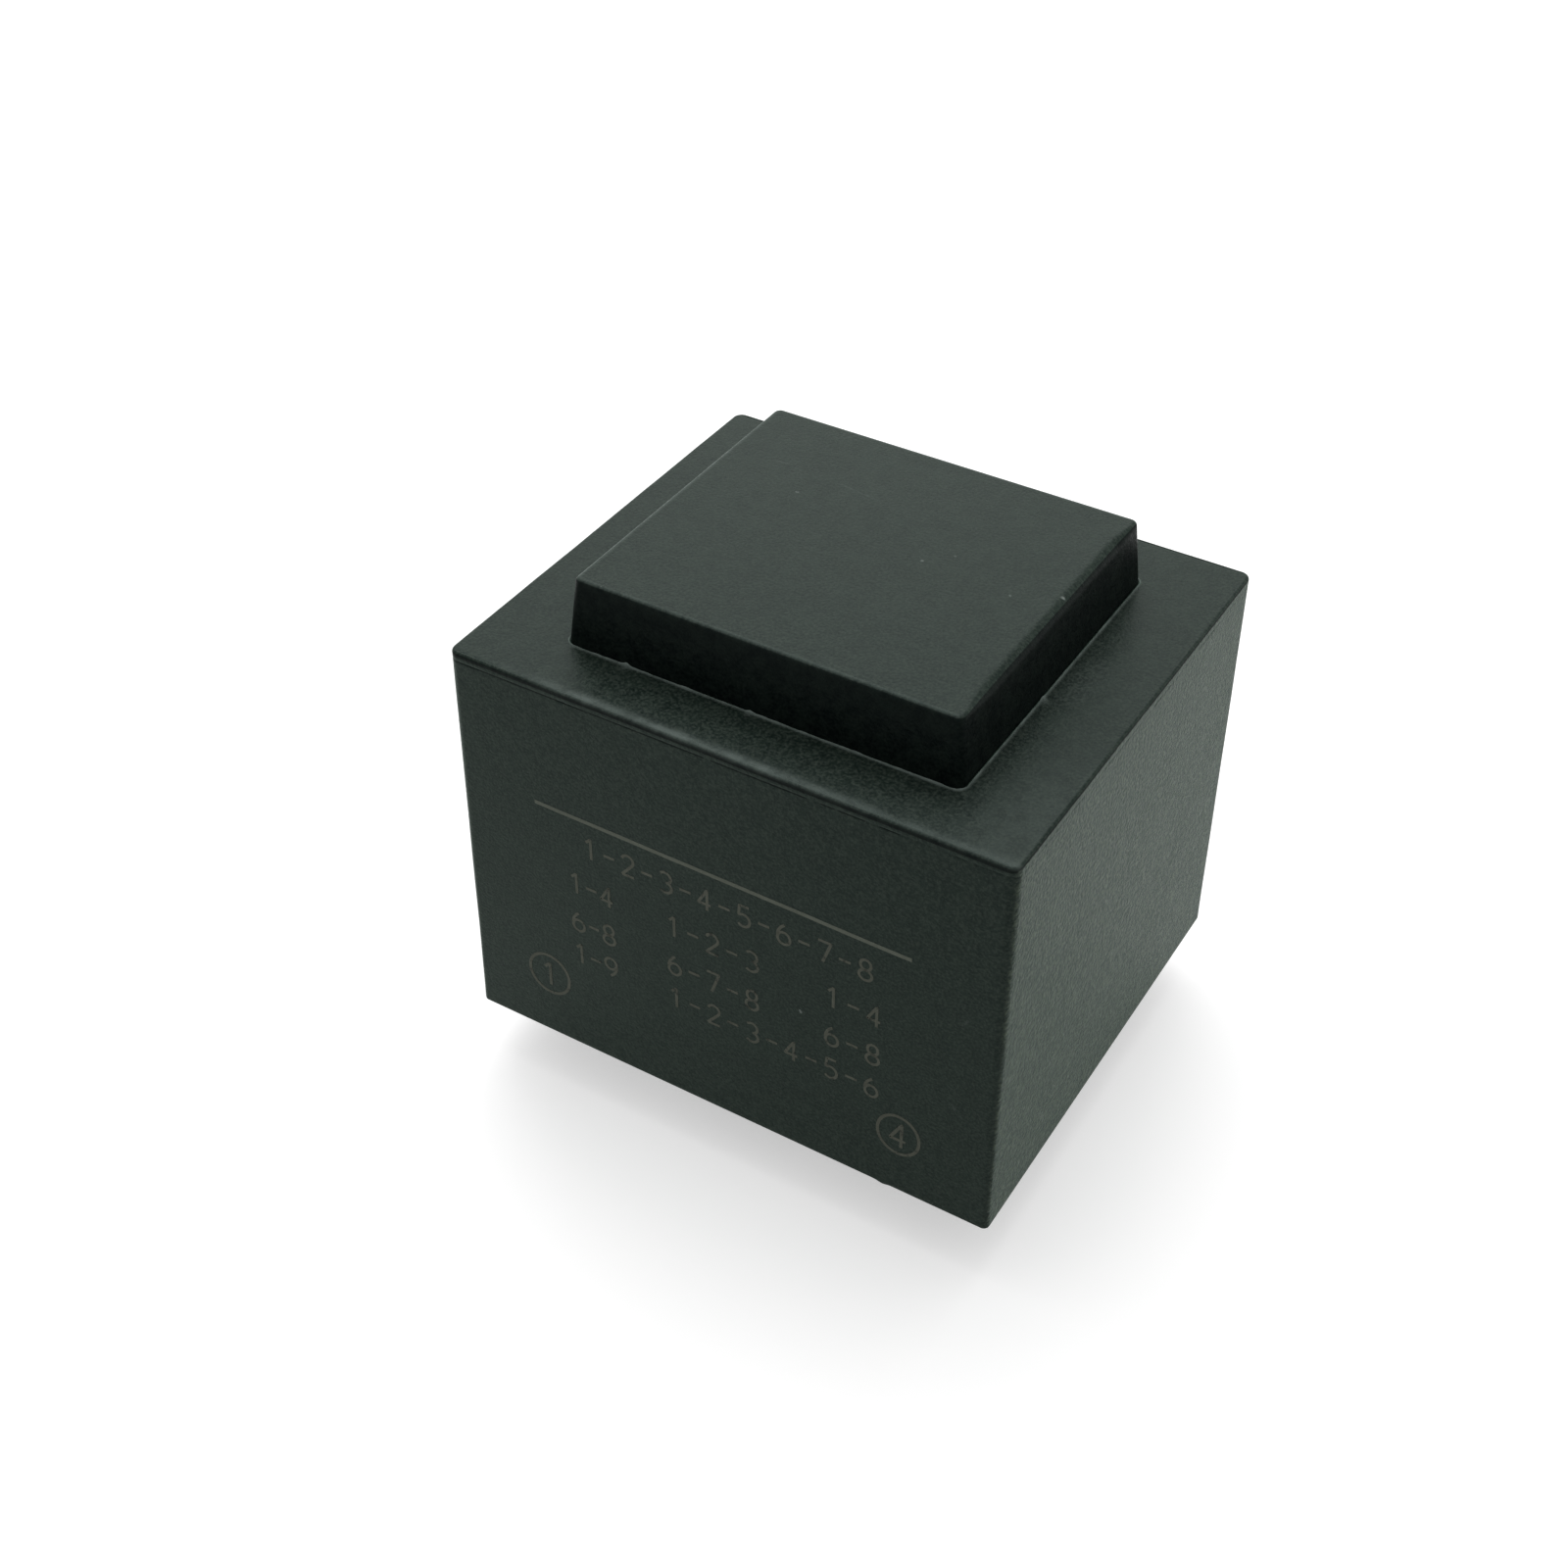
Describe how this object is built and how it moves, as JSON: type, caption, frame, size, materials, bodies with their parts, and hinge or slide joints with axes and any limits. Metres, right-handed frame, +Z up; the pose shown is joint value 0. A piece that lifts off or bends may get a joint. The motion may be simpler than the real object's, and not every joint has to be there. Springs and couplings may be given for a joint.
{
  "type": "encapsulated circuit board transformer",
  "caption": "Small mains transformer potted in a moulded plastic housing with a raised block on top, with solder pins in two rows underneath.",
  "frame": {"origin": "centre of the pin grid, in the plane where the rim sits on the board", "axes": "+Z up, away from the board; +X along the printed side, towards pin 4; the printed side, with pins 1 to 4, faces -Y"},
  "size_m": [0.033, 0.0284, 0.0331],
  "materials": {
    "housing_plastic": "dark grey-green moulded thermoplastic, matt and finely grained",
    "potting_resin": "black casting resin with a level cast surface",
    "lamination_steel": "silicon steel sheet with a thin insulating film",
    "former_plastic": "black glass-filled nylon",
    "copper_wire": "enamelled copper wire",
    "insulating_tape": "yellow polyester tape",
    "solder": "bright solder",
    "tinned_pin": "tinned wire"
  },
  "bodies": {
    "root": {"housing": "housing_plastic", "potting_resin": "potting_resin", "e_laminations": "lamination_steel", "i_laminations": "lamination_steel", "coil_former": "former_plastic", "primary_winding": "copper_wire", "secondary_winding": "copper_wire", "primary_tape": "insulating_tape", "secondary_tape": "insulating_tape", "lead_1": "copper_wire", "lead_4": "copper_wire", "lead_6": "copper_wire", "lead_8": "copper_wire", "solder_1": "solder", "solder_4": "solder", "solder_6": "solder", "solder_8": "solder", "pin_1": "tinned_pin", "pin_2": "tinned_pin", "pin_3": "tinned_pin", "pin_4": "tinned_pin", "pin_5": "tinned_pin", "pin_6": "tinned_pin", "pin_7": "tinned_pin", "pin_8": "tinned_pin", "pin_9": "tinned_pin"}
  },
  "joints": []
}
